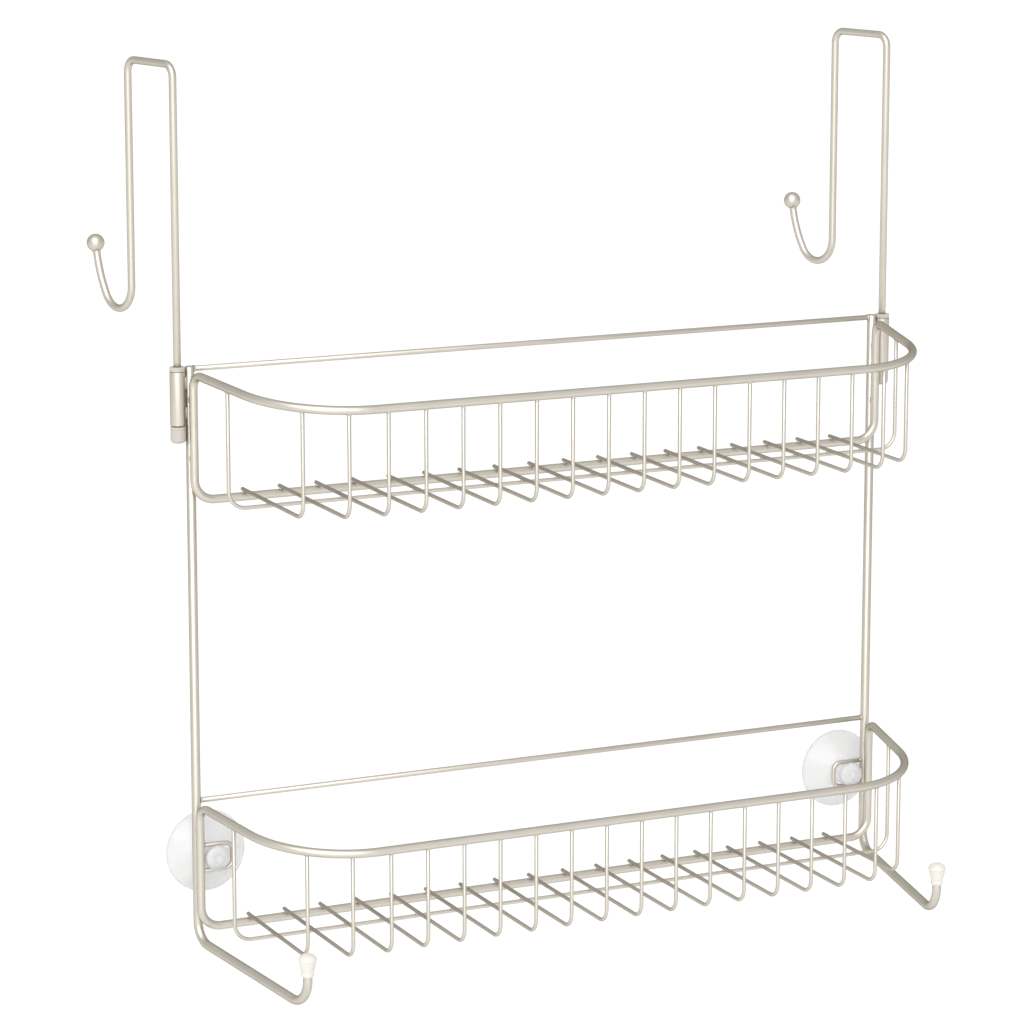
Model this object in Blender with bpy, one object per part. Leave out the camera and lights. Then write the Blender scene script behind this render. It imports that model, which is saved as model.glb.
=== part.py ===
"""Over-the-door two-tier wire shower caddy.

Units are metres, +Z up. +X is to the right for someone facing the baskets and +Y points at the door.
The origin is on the door's top edge: midway between the two hooks, in the middle of the door's
thickness, level with the underside of the bars that rest on the door.
"""
import math

import bmesh
import bpy
from mathutils import Matrix, Vector

for obj in list(bpy.data.objects):
    bpy.data.objects.remove(obj, do_unlink=True)

# ---------------------------------------------------------------- driving dimensions
# Clearances between separate pieces
GAP = 0.0003             # left where two solids touch, are welded or are pushed together
END_CAP_GAP = 0.0008     # running gap between a sleeve and the end cap that turns under it
HOOK_PLAY = 0.0003       # round the hook wire in its liner
CUP_PLAY = 0.0006        # each side of a cup's neck between the wires of its loop
CUP_TO_POST = 0.0030     # cup's neck to the post
CUP_BEHIND_POST = 0.0006 # cup's shoulder to the back of the post

# Wire diameters
POST_D = 0.0062
RIM_D = 0.0058
HOOK_D = 0.0050
CROSSBAR_D = 0.0036
LOOP_D = 0.0028
WIRE_D = 0.0026
RUNNER_D = 0.0026

# Frame
POST_SPACING = 0.525     # between the two post axes
BAR_BELOW_DOOR = 0.199   # upper crossbar axis below the door's top edge
TIER_PITCH = 0.296       # from one crossbar axis to the other

# Baskets
RIM_BELOW_BAR = 0.0025   # rim's rear corners below the crossbar axis
BASKET_H = 0.0855        # rim's rear corners to the rear floor bar
BASKET_DEPTH = 0.1175    # rim's rear verticals to its front rail
FRONT_DROP = 0.0115      # front rail below the rim's rear corners
SIDE_TAPER = 0.0225      # how far each side draws in towards the front
FRONT_CORNER_R = 0.070
BACK_CORNER_R = 0.009
FLOOR_CORNER_R = 0.014
WIRE_COUNT = 18
WIRE_MARGIN = 0.0355     # post axis to the first floor wire
WIRE_BEND_R = 0.010
WIRE_STUB = 0.0006       # floor wire past the back of the rear bar
FLOOR_FALL = 0.0022      # fall of the floor wires from the rear bar to their bends
RUNNER_FROM_BACK = 0.041 # runner in front of the rear bar
RUNNER_BEND_R = 0.012

# Towel arms, the forward ends of the posts
ARM_GAP = 0.0040         # clear height between the lower rear bar and the arm under it
ARM_REACH = 0.1385       # post axis to the upturned end's axis
ARM_TOE_IN = math.radians(9)
ARM_DROOP = math.radians(4.6)
ARM_BEND_R = 0.014
TIP_BEND_R = 0.018
TIP_TOP = 0.0375         # top of the vinyl tip above the arm's axis at its far end
TIP_L = 0.0155
TIP_WALL = 0.0008        # round the wire at the tip's mouth
TIP_MOUTH_L = 0.0039     # straight part at the mouth
TIP_FLARE = 0.0020       # how far the tip widens above its mouth
TIP_FLARE_L = 0.0057
TIP_DOME_H = 0.0034
TIP_BORE_L = 0.0105

# Hook sleeves
SLEEVE_WALL = 0.0009
SLEEVE_L = 0.036
SLEEVE_DROP = 0.0013     # sleeve's top below the upper crossbar's axis
LINER_WALL = 0.0012
LINER_FLANGE_T = 0.0030
END_CAP_L = 0.0112
END_CAP_BORE_L = 0.0080
END_CAP_ROUND = 0.0025

# Door hooks
DOOR_GAP = 0.049         # clear space between the hook's two legs
HOOK_SWIVEL = math.radians(12)  # how far both hooks stand turned in their sleeves
HOOK_BEND_R = 0.0085
J_DROP = 0.1685          # axis of the bar on the door to the lowest point of the J
J_R = 0.0172
J_FLARE = math.radians(33)      # lean of the J where its tight arc ends
J_ARM_R = 0.080          # wide curve from there to the ball
J_ARM_L = 0.030          # along that curve, to the ball's surface
BALL_D = 0.0120
BALL_BORE_L = 0.0045     # depth of the wire's socket in the ball

# Suction cups and their loops
CUP_BELOW_BAR = 0.041    # cup axis below the lower crossbar
LOOP_SPACING = 0.018     # between the loop's two straight wires
LOOP_BEYOND_CUP = 0.0035 # cup axis to the centre of the loop's round end
CUP_D = 0.0572
CUP_RIM_W = 0.0026       # width of the flat sealing ring
CUP_WALL = 0.0017
CUP_DEPTH = 0.0185       # sealing plane behind the loop's axis
CUP_LIP_T = 0.0013       # thickness of the bell at its outer edge
CUP_HEAD_LIP = 0.0017    # how far the head stands out over the neck
CUP_HEAD_T = 0.0052
CUP_HEAD_ROUND = 0.0023
CUP_SHOULDER_LIP = 0.0014
CUP_FLARE = 1.35         # power of the bell's outline: above 1 it steepens towards the edge

# Fineness of the round shapes
ARC_STEP = math.radians(15)
FINE_ARC_STEP = math.radians(9)
FLOOR_WIRE_STEP = math.radians(18)
ROUNDING_STEP = math.radians(30)
CURVE_STEPS = 5          # along a tip's dome or a cup's bell
POST_SIDES = 12
FRAME_WIRE_SIDES = 10
FLOOR_WIRE_SIDES = 8
BUTTON_SEGMENTS = 20
SLEEVE_SEGMENTS = 24
CUP_SEGMENTS = 32
CREASE = math.radians(40)
MERGE_DISTANCE = 1e-6

# ---------------------------------------------------------------- values that follow
HALF = POST_SPACING / 2
HOOK_LEG_SPACING = DOOR_GAP + HOOK_D
POST_Y = -HOOK_LEG_SPACING * math.cos(HOOK_SWIVEL) / 2
UPPER_BAR_Z = -BAR_BELOW_DOOR
LOWER_BAR_Z = UPPER_BAR_Z - TIER_PITCH
RIM_Y = -(POST_D + RIM_D) / 2 - GAP             # rim verticals in front of the post axis
FRONT_Y = RIM_Y - BASKET_DEPTH
WIRE_PITCH = (POST_SPACING - 2 * WIRE_MARGIN) / (WIRE_COUNT - 1)
FLOOR_WIRE_Z = -BASKET_H + (RIM_D + WIRE_D) / 2 + GAP
RUNNER_Y = RIM_Y - RUNNER_FROM_BACK
ARM_Z = LOWER_BAR_Z - RIM_BELOW_BAR - BASKET_H - (RIM_D + POST_D) / 2 - ARM_GAP
SLEEVE_R = HOOK_D / 2 + HOOK_PLAY + LINER_WALL + GAP + SLEEVE_WALL
SLEEVE_X = HALF + POST_D / 2 + GAP + SLEEVE_R
SLEEVE_TOP_Z = UPPER_BAR_Z - SLEEVE_DROP
CUP_NECK_R = (LOOP_SPACING - LOOP_D) / 2 - CUP_PLAY
CUP_INBOARD = POST_D / 2 + CUP_TO_POST + CUP_NECK_R
CUP_X = HALF - CUP_INBOARD
CUP_Z = LOWER_BAR_Z - CUP_BELOW_BAR
SIDES = (("left", -1), ("right", 1))


# ---------------------------------------------------------------- modelling helpers
def linear(channel):
    value = channel / 255
    return value / 12.92 if value <= 0.04045 else ((value + 0.055) / 1.055) ** 2.4


def make_material(name, rgb, roughness, metallic=0.0, alpha=1.0):
    """Principled material from an 8-bit sRGB colour."""
    mat = bpy.data.materials.new(name)
    mat.use_nodes = True
    shader = mat.node_tree.nodes["Principled BSDF"]
    shader.inputs["Base Color"].default_value = (*[linear(c) for c in rgb], 1)
    shader.inputs["Roughness"].default_value = roughness
    shader.inputs["Metallic"].default_value = metallic
    shader.inputs["Alpha"].default_value = alpha
    return mat


def add_object(name, data, material, location, parent=None):
    obj = bpy.data.objects.new(name, data)
    bpy.context.scene.collection.objects.link(obj)
    data.materials.append(material)
    obj.location = location
    obj.parent = parent
    return obj


def add_empty(name, location, turn):
    """An axis for pieces that turn about Z, standing turned by the given angle."""
    empty = bpy.data.objects.new(name, None)
    empty.empty_display_size = HOOK_BEND_R
    empty.location = location
    empty.rotation_euler = (0, 0, turn)
    bpy.context.scene.collection.objects.link(empty)
    return empty


def rounded_path(corners, radii, closed=False, step=ARC_STEP):
    """Points of a wire's axis: straight runs with an arc of the given radius at each corner."""
    count = len(corners)
    corners = [Vector(c) for c in corners]
    path = []
    for i, corner in enumerate(corners):
        if not closed and i in (0, count - 1):
            path.append(corner)
            continue
        to_last = (corners[i - 1] - corner).normalized()
        to_next = (corners[(i + 1) % count] - corner).normalized()
        turn = math.pi - to_last.angle(to_next)
        radius = radii[i]
        tangent = radius * math.tan(turn / 2)
        centre = corner + (to_last + to_next).normalized() * (radius / math.cos(turn / 2))
        start = corner + to_last * tangent - centre
        axis = start.cross(corner + to_next * tangent - centre)
        steps = max(2, math.ceil(turn / step))
        for k in range(steps + 1):
            path.append(centre + Matrix.Rotation(turn * k / steps, 3, axis) @ start)
    return path


def add_wire(name, path, diameter, sides, material, location=(0, 0, 0), closed=False, parent=None):
    """A bent wire of round section along the path, with flat ends unless it is a closed loop."""
    curve = bpy.data.curves.new(name, "CURVE")
    curve.dimensions = "3D"
    curve.bevel_depth = diameter / 2
    curve.bevel_resolution = sides // 2 - 2
    curve.use_fill_caps = not closed
    spline = curve.splines.new("POLY")
    spline.points.add(len(path) - 1)
    for point, position in zip(spline.points, path):
        point.co = (*position, 1)
    spline.use_cyclic_u = closed
    spline.use_smooth = True
    return add_object(name, curve, material, location, parent)


def arc_points(centre_r, centre_h, radius, start, end, step=FINE_ARC_STEP):
    """Points (r, h) of an arc in a turned profile; angles are measured from +r towards +h."""
    steps = max(2, math.ceil(abs(end - start) / step))
    angles = [start + (end - start) * k / steps for k in range(steps + 1)]
    return [(centre_r + radius * math.cos(a), centre_h + radius * math.sin(a)) for a in angles]


def add_turned(name, profile, segments, material, location, parent=None, closed=False):
    """A piece turned about its local Z axis from (r, h) points; open profiles start and end on it."""
    bm = bmesh.new()
    verts = [bm.verts.new((r, 0, h)) for r, h in profile]
    pairs = list(zip(verts, verts[1:]))
    if closed:
        pairs.append((verts[-1], verts[0]))
    edges = [bm.edges.new(pair) for pair in pairs]
    bmesh.ops.spin(bm, geom=verts + edges, cent=(0, 0, 0), axis=(0, 0, 1),
                   angle=math.tau, steps=segments, use_merge=True)
    bmesh.ops.remove_doubles(bm, verts=bm.verts, dist=MERGE_DISTANCE)
    bmesh.ops.recalc_face_normals(bm, faces=bm.faces)
    mesh = bpy.data.meshes.new(name)
    bm.to_mesh(mesh)
    bm.free()
    mesh.shade_smooth()
    mesh.set_sharp_from_angle(angle=CREASE)
    return add_object(name, mesh, material, location, parent)


# ---------------------------------------------------------------- materials
nickel = make_material("satin_nickel_paint", (207, 200, 189), 0.34, metallic=0.85)
grey_nylon = make_material("grey_nylon", (205, 201, 198), 0.45)
white_vinyl = make_material("white_vinyl", (240, 237, 230), 0.40)
clear_pvc = make_material("clear_pvc", (236, 236, 236), 0.12, alpha=0.35)


# ---------------------------------------------------------------- baskets
def rim_path():
    """The rim's closed loop, from the lower left corner up, round the front and back down."""
    front_x = HALF - SIDE_TAPER
    corners = [(-HALF, RIM_Y, -BASKET_H), (-HALF, RIM_Y, 0), (-front_x, FRONT_Y, -FRONT_DROP),
               (front_x, FRONT_Y, -FRONT_DROP), (HALF, RIM_Y, 0), (HALF, RIM_Y, -BASKET_H)]
    radii = [FLOOR_CORNER_R, BACK_CORNER_R, FRONT_CORNER_R,
             FRONT_CORNER_R, BACK_CORNER_R, FLOOR_CORNER_R]
    return rounded_path(corners, radii, closed=True, step=FINE_ARC_STEP)


def rail_crossings(path, axis, value):
    """Points where the rim's axis crosses a plane square to X (axis 0) or to Y (axis 1)."""
    crossings = []
    for a, b in zip(path, path[1:]):
        if min(a[axis], b[axis]) <= value <= max(a[axis], b[axis]) and a[axis] != b[axis]:
            crossings.append(a.lerp(b, (value - a[axis]) / (b[axis] - a[axis])))
    return crossings


def floor_height(y):
    """Height of a floor wire's axis, which falls gently towards the front."""
    return FLOOR_WIRE_Z - FLOOR_FALL * (RIM_Y - y) / BASKET_DEPTH


def build_basket(tier, bar_z):
    datum = (0, POST_Y, bar_z - RIM_BELOW_BAR)
    loop = rim_path()
    add_wire(f"{tier}_rim", loop, RIM_D, FRAME_WIRE_SIDES, nickel, datum, closed=True)

    side = max(rail_crossings(loop, 1, RUNNER_Y), key=lambda point: point.x)
    end_z = side.z - RIM_D / 2 - GAP
    runner_z = floor_height(RUNNER_Y) - (WIRE_D + RUNNER_D) / 2 - GAP
    runner = [(-side.x, RUNNER_Y, end_z), (-side.x, RUNNER_Y, runner_z),
              (side.x, RUNNER_Y, runner_z), (side.x, RUNNER_Y, end_z)]
    add_wire(f"{tier}_runner", rounded_path(runner, [0, RUNNER_BEND_R, RUNNER_BEND_R, 0]),
             RUNNER_D, FLOOR_WIRE_SIDES, nickel, datum)

    stub_y = RIM_Y + RIM_D / 2 + WIRE_STUB
    for i in range(WIRE_COUNT):
        x = (i - (WIRE_COUNT - 1) / 2) * WIRE_PITCH
        rail = min(rail_crossings(loop, 0, x), key=lambda point: point.y)
        corners = [(x, stub_y, floor_height(stub_y)), (x, rail.y, floor_height(rail.y)),
                   (x, rail.y, rail.z - RIM_D / 2 - GAP)]
        path = rounded_path(corners, [0, WIRE_BEND_R, 0], step=FLOOR_WIRE_STEP)
        add_wire(f"{tier}_wire_{i + 1:02d}", path, WIRE_D, FLOOR_WIRE_SIDES, nickel, datum)


# ---------------------------------------------------------------- frame
def arm_end(side):
    """Where the arm's straight run meets the axis of its upturned end, from the post's foot."""
    return Vector((-side * ARM_REACH * math.tan(ARM_TOE_IN), -ARM_REACH,
                   -ARM_REACH * math.tan(ARM_DROOP)))


def build_crossbar(name, bar_z):
    end = HALF - POST_D / 2 - GAP
    add_wire(name, [(-end, 0, 0), (end, 0, 0)], CROSSBAR_D, FRAME_WIRE_SIDES, nickel,
             (0, POST_Y, bar_z))


def build_post(label, side):
    """Upright, towel arm and upturned end in one wire, with the vinyl tip pushed over its end."""
    datum = Vector((side * HALF, POST_Y, UPPER_BAR_Z))
    top = Vector((0, 0, CROSSBAR_D / 2))
    foot = Vector((0, 0, ARM_Z - UPPER_BAR_Z))
    turn_up = foot + arm_end(side)
    wire_end = turn_up + Vector((0, 0, TIP_TOP - TIP_L + TIP_BORE_L - GAP))
    path = rounded_path([top, foot, turn_up, wire_end], [0, ARM_BEND_R, TIP_BEND_R, 0],
                        step=FINE_ARC_STEP)
    add_wire(f"{label}_post", path, POST_D, POST_SIDES, nickel, datum)

    bore_r = POST_D / 2 + GAP
    mouth_r = bore_r + TIP_WALL
    head_r = mouth_r + TIP_FLARE
    profile = [(0, TIP_BORE_L), (bore_r, TIP_BORE_L), (bore_r, 0), (mouth_r, 0),
               (mouth_r, TIP_MOUTH_L), (head_r, TIP_MOUTH_L + TIP_FLARE_L)]
    for k in range(CURVE_STEPS + 1):
        a = math.pi / 2 * k / CURVE_STEPS
        profile.append((head_r * math.cos(a), TIP_L - TIP_DOME_H * (1 - math.sin(a))))
    tip_base = datum + turn_up + Vector((0, 0, TIP_TOP - TIP_L))
    add_turned(f"{label}_arm_tip", profile, BUTTON_SEGMENTS, white_vinyl, tip_base)


# ---------------------------------------------------------------- hook sleeves and door hooks
def build_sleeve(label, side):
    """Metal tube beside the post, with a flanged plastic liner that the hook wire turns in."""
    location = (side * SLEEVE_X, POST_Y, SLEEVE_TOP_Z)
    inner_r = SLEEVE_R - SLEEVE_WALL
    tube = [(inner_r, 0), (SLEEVE_R, 0), (SLEEVE_R, -SLEEVE_L), (inner_r, -SLEEVE_L)]
    add_turned(f"{label}_sleeve", tube, SLEEVE_SEGMENTS, nickel, location, closed=True)

    bore_r = HOOK_D / 2 + HOOK_PLAY
    barrel_r = bore_r + LINER_WALL
    liner = [(bore_r, GAP + LINER_FLANGE_T), (SLEEVE_R - GAP, GAP + LINER_FLANGE_T),
             (SLEEVE_R, LINER_FLANGE_T), (SLEEVE_R, GAP), (barrel_r, GAP),
             (barrel_r, -SLEEVE_L), (bore_r, -SLEEVE_L)]
    add_turned(f"{label}_liner", liner, SLEEVE_SEGMENTS, grey_nylon, location, closed=True)


def from_centre(angle):
    """Unit vector in the hook's plane, from towards the door (0) through down (a quarter turn)."""
    return Vector((0, -math.cos(angle), -math.sin(angle)))


def hook_arc(centre, radius, start, end):
    """Points along an arc of the J."""
    steps = math.ceil((end - start) / FINE_ARC_STEP)
    return [centre + radius * from_centre(start + (end - start) * k / steps)
            for k in range(steps + 1)]


def build_door_hook(label, side):
    """Hook wire with its ball and end cap, on an empty that stands on the sleeve's axis."""
    pivot = add_empty(f"{label}_hook_axis", (side * SLEEVE_X, POST_Y, SLEEVE_TOP_Z), HOOK_SWIVEL)
    bar_z = HOOK_D / 2 - SLEEVE_TOP_Z
    cap_top = -SLEEVE_L - END_CAP_GAP
    foot = Vector((0, 0, cap_top - END_CAP_BORE_L + GAP))
    over_front = Vector((0, 0, bar_z))
    over_back = Vector((0, HOOK_LEG_SPACING, bar_z))

    arc_centre = Vector((0, HOOK_LEG_SPACING + J_R, bar_z - J_DROP + J_R))
    path = rounded_path([foot, over_front, over_back, arc_centre - Vector((0, J_R, 0))],
                        [0, HOOK_BEND_R, HOOK_BEND_R, 0])
    turn = math.pi - J_FLARE
    path += hook_arc(arc_centre, J_R, 0, turn)[1:]
    wide_centre = arc_centre - (J_ARM_R - J_R) * from_centre(turn)
    lean = J_FLARE - J_ARM_L / J_ARM_R
    path += hook_arc(wide_centre, J_ARM_R, turn, math.pi - lean)[1:]
    arm = Vector((0, math.sin(lean), math.cos(lean)))
    ball_centre = path[-1] + arm * BALL_D / 2
    socket_z = -BALL_D / 2 + BALL_BORE_L
    path.append(ball_centre + arm * (socket_z - GAP))
    add_wire(f"{label}_door_hook", path, HOOK_D, FRAME_WIRE_SIDES, nickel, parent=pivot)

    bore_r = HOOK_D / 2 + GAP
    mouth_angle = math.asin(bore_r / (BALL_D / 2))
    ball = [(0, socket_z), (bore_r, socket_z)]
    ball += arc_points(0, 0, BALL_D / 2, mouth_angle - math.pi / 2, math.pi / 2, step=ARC_STEP)
    ball[-1] = (0, BALL_D / 2)
    ball_obj = add_turned(f"{label}_hook_ball", ball, BUTTON_SEGMENTS, nickel, ball_centre,
                          parent=pivot)
    ball_obj.rotation_euler = (-lean, 0, 0)

    corner = arc_points(SLEEVE_R - END_CAP_ROUND, END_CAP_ROUND - END_CAP_L, END_CAP_ROUND,
                        0, -math.pi / 2, step=ROUNDING_STEP)
    cap = [(0, -END_CAP_BORE_L), (bore_r, -END_CAP_BORE_L), (bore_r, 0), (SLEEVE_R, 0)]
    cap += corner + [(0, -END_CAP_L)]
    add_turned(f"{label}_end_cap", cap, SLEEVE_SEGMENTS, grey_nylon, (0, 0, cap_top),
               parent=pivot)


# ---------------------------------------------------------------- suction cups
def build_suction_cup(label, side):
    """Wire loop on the inner side of the post, and the cup whose neck sits between its wires."""
    start_x = -side * (POST_D / 2 + GAP)
    centre = Vector((-side * (CUP_INBOARD + LOOP_BEYOND_CUP), 0, 0))
    radius = LOOP_SPACING / 2
    path = [Vector((start_x, 0, radius))]
    steps = math.ceil(math.pi / ARC_STEP)
    for k in range(steps + 1):
        a = math.pi * k / steps
        path.append(centre + radius * Vector((-side * math.sin(a), 0, math.cos(a))))
    path.append(Vector((start_x, 0, -radius)))
    add_wire(f"{label}_cup_loop", path, LOOP_D, FRAME_WIRE_SIDES, nickel,
             (side * HALF, POST_Y, CUP_Z))

    # Local Z runs towards the door once the cup is turned; zero is the loop's plane.
    outer_r = CUP_D / 2
    seal_r = outer_r - CUP_RIM_W
    head_r = CUP_NECK_R + CUP_HEAD_LIP
    neck_h = LOOP_D / 2 + GAP
    shoulder_r = CUP_NECK_R + CUP_SHOULDER_LIP
    shoulder_h = POST_D / 2 + CUP_BEHIND_POST
    lip_h = CUP_DEPTH - CUP_LIP_T
    profile = [(0, -neck_h - CUP_HEAD_T)]
    profile += arc_points(head_r - CUP_HEAD_ROUND, CUP_HEAD_ROUND - neck_h - CUP_HEAD_T,
                          CUP_HEAD_ROUND, -math.pi / 2, 0, step=ROUNDING_STEP)
    profile += [(head_r, -neck_h), (CUP_NECK_R, -neck_h), (CUP_NECK_R, neck_h),
                (shoulder_r, shoulder_h)]
    for k in range(1, CURVE_STEPS + 1):
        share = k / CURVE_STEPS
        profile.append((shoulder_r + (outer_r - shoulder_r) * share,
                        shoulder_h + (lip_h - shoulder_h) * share ** CUP_FLARE))
    profile += [(outer_r, CUP_DEPTH), (seal_r, CUP_DEPTH)]
    crown_h = shoulder_h + CUP_WALL
    for k in range(1, CURVE_STEPS + 1):
        share = 1 - k / CURVE_STEPS
        profile.append((seal_r * share, crown_h + (CUP_DEPTH - crown_h) * share ** CUP_FLARE))
    cup = add_turned(f"{label}_suction_cup", profile, CUP_SEGMENTS, clear_pvc,
                     (side * CUP_X, POST_Y, CUP_Z))
    cup.rotation_euler = (-math.pi / 2, 0, 0)


# ---------------------------------------------------------------- assembly
build_crossbar("upper_crossbar", UPPER_BAR_Z)
build_crossbar("lower_crossbar", LOWER_BAR_Z)
build_basket("upper", UPPER_BAR_Z)
build_basket("lower", LOWER_BAR_Z)
for label, side in SIDES:
    build_post(label, side)
    build_sleeve(label, side)
    build_door_hook(label, side)
    build_suction_cup(label, side)
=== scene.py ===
import math

import bpy
from mathutils import Matrix, Vector


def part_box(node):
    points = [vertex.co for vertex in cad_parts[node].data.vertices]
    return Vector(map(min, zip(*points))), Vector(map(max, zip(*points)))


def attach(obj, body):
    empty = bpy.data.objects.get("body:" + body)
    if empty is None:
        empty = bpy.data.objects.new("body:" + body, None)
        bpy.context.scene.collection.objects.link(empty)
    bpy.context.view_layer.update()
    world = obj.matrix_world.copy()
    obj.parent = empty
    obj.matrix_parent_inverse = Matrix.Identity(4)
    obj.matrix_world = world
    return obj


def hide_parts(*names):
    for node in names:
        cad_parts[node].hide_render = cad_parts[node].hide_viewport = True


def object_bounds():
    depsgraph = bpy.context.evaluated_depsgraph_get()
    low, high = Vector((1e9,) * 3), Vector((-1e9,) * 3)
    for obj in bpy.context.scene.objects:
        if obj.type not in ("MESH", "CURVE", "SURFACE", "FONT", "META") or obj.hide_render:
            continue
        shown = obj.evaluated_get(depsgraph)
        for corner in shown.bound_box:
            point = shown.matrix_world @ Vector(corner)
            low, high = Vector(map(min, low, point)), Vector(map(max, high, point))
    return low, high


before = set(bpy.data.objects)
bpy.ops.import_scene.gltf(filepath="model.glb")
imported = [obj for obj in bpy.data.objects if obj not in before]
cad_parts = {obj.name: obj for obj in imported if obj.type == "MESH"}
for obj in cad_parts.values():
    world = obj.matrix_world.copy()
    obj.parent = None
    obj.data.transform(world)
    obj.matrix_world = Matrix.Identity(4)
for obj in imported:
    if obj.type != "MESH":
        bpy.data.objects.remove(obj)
cad_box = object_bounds()

# ------------------------------------------------------------------ uprights and towel arms
# Each side of the caddy is one length of 6.2 mm steel rod: the upright, a bend at its foot, the towel
# arm that runs forward under the lower basket, and its upturned end. The rod is bent cold, welded to
# the baskets, and painted with the rest of the frame.
POST_D = 0.0062
ARM_BEND_R = 0.014
TIP_BEND_R = 0.018
ARM_DROOP = math.radians(4.6)
TIP_TOP = 0.0375           # top of a tip above the arm's axis at its far end
BEND_STEP = math.radians(4)
CUT_EDGE = 0.10            # share of a wire's diameter that its sheared ends are rounded by
WIRE_SIDES = 32
CREASE = math.radians(50)
MERGE = 0.00002

PAINT_BASE = "#d4cfc5"
PAINT_DEEP = "#c9c3b8"
PAINT_FLAKE = "#e5e1da"
PAINT_EDGE = "#8c8577"     # the lacquer looks deeper where it is seen edge on
FLAKE = 0.0006             # real flakes are near 0.05 mm; drawn coarser so that they can show at all
ORANGE_PEEL = 0.0016       # ripple left in a sprayed coat
COAT_DRIFT = 0.030         # slow change in how thickly the coat lies


def colour(code):
    """Linear RGBA of an sRGB hex colour."""
    channels = [int(code[i:i + 2], 16) / 255 for i in (1, 3, 5)]
    return (*[c / 12.92 if c <= 0.04045 else ((c + 0.055) / 1.055) ** 2.4 for c in channels], 1)


def add_node(material, kind, settings, links):
    """Adds a node. Settings are its properties or inputs by name; links are inputs and what feeds them."""
    node = material.node_tree.nodes.new(kind)
    for key, value in settings.items():
        if isinstance(key, str) and hasattr(node, key):
            setattr(node, key, value)
        else:
            node.inputs[key].default_value = value
    for key, output in links.items():
        material.node_tree.links.new(output, node.inputs[key])
    return node


def start_finish(name, **settings):
    """A material with a Principled shader, and the output that gives a point its place on the object."""
    material = bpy.data.materials.new(name)
    material.use_nodes = True
    shader = material.node_tree.nodes["Principled BSDF"]
    for key, value in settings.items():
        shader.inputs[key.replace("_", " ")].default_value = value
    place = add_node(material, "ShaderNodeTexCoord", {}, {}).outputs["Object"]
    return material, shader, place


def make_satin_nickel():
    """Nickel-coloured metallic lacquer on steel: soft wide highlights, faint sparkle, slight ripple."""
    material, shader, place = start_finish("satin_nickel_lacquer", Metallic=1.0,
                                           Specular_Tint=colour(PAINT_EDGE))
    links = material.node_tree.links
    drift = add_node(material, "ShaderNodeTexNoise", {"Scale": 1 / COAT_DRIFT, "Detail": 2},
                     {"Vector": place})
    tone = add_node(material, "ShaderNodeMix",
                    {"data_type": "RGBA", 6: colour(PAINT_DEEP), 7: colour(PAINT_BASE)},
                    {0: drift.outputs["Fac"]})
    flake = add_node(material, "ShaderNodeTexVoronoi", {"Scale": 1 / FLAKE}, {"Vector": place})
    sparkle = add_node(material, "ShaderNodeMapRange",
                       {"From Min": 0.25, "From Max": 0.05, "To Max": 0.45},
                       {"Value": flake.outputs["Distance"]})
    paint = add_node(material, "ShaderNodeMix", {"data_type": "RGBA", 7: colour(PAINT_FLAKE)},
                     {0: sparkle.outputs["Result"], 6: tone.outputs[2]})
    sheen = add_node(material, "ShaderNodeMapRange", {"To Min": 0.39, "To Max": 0.47},
                     {"Value": drift.outputs["Fac"]})
    ripple = add_node(material, "ShaderNodeTexNoise", {"Scale": 1 / ORANGE_PEEL, "Detail": 1},
                      {"Vector": place})
    bump = add_node(material, "ShaderNodeBump", {"Strength": 0.25, "Distance": 0.00004},
                    {"Height": ripple.outputs["Fac"]})
    links.new(paint.outputs[2], shader.inputs["Base Color"])
    links.new(sheen.outputs["Result"], shader.inputs["Roughness"])
    links.new(bump.outputs["Normal"], shader.inputs["Normal"])
    return material


satin_nickel = make_satin_nickel()


def draw_on(step):
    """Draws the selected end of a wire on by a step."""
    bpy.ops.mesh.extrude_region_move(TRANSFORM_OT_translate={"value": step})


def close_piece(piece, name):
    """Leaves edit mode with doubled points merged, faces outwards and only real corners sharp."""
    bpy.ops.mesh.select_all(action="SELECT")
    bpy.ops.mesh.remove_doubles(threshold=MERGE)
    bpy.ops.mesh.normals_make_consistent(inside=False)
    bpy.ops.object.mode_set(mode="OBJECT")
    bpy.ops.object.shade_smooth_by_angle(angle=CREASE)
    piece.name = name
    return piece


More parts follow.
